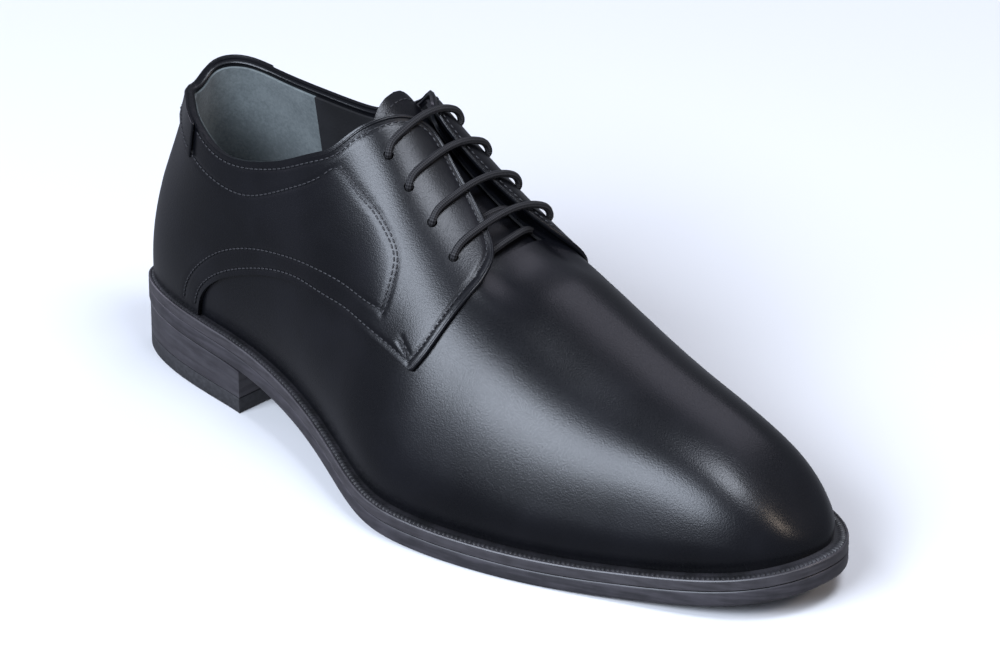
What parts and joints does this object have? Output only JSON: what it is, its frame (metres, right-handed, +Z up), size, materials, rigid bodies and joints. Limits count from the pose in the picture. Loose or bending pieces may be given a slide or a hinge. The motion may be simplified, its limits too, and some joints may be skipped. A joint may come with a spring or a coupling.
{
  "type": "derby shoe",
  "caption": "Low black leather derby dress shoe for the right foot: plain rounded toe, open lacing with a round lace, welted sole and low stacked heel.",
  "frame": {"origin": "on the ground under the back of the heel, on the shoe's long line", "axes": "+X from heel to toe, +Y to the wearer's left (inner side of this right shoe), +Z up; the heel and the ball of the foot stand on Z = 0"},
  "size_m": [0.303, 0.1092, 0.1278],
  "materials": {
    "dark_sole_rubber": "matt dark grey-brown edge",
    "welt_leather": "black, wheeled and stitched",
    "insole_board": "brown board",
    "heel_stack": "dyed stacked layers",
    "top_lift_rubber": "matt black",
    "black_calf": "smooth, waxed, satin",
    "black_calf_quarter": "smooth, waxed, satin",
    "black_calf_tab": "smooth, satin",
    "black_calf_tongue": "smooth, satin",
    "waxed_lace": "round braid, waxed"
  },
  "bodies": {
    "root": {"outsole": "dark_sole_rubber", "welt": "welt_leather", "insole": "insole_board", "heel_stack": "heel_stack", "top_lift": "top_lift_rubber", "upper": "black_calf", "quarter_lateral": "black_calf_quarter", "quarter_medial": "black_calf_quarter", "heel_tab": "black_calf_tab", "tongue": "black_calf_tongue", "lace": "waxed_lace"}
  },
  "joints": []
}
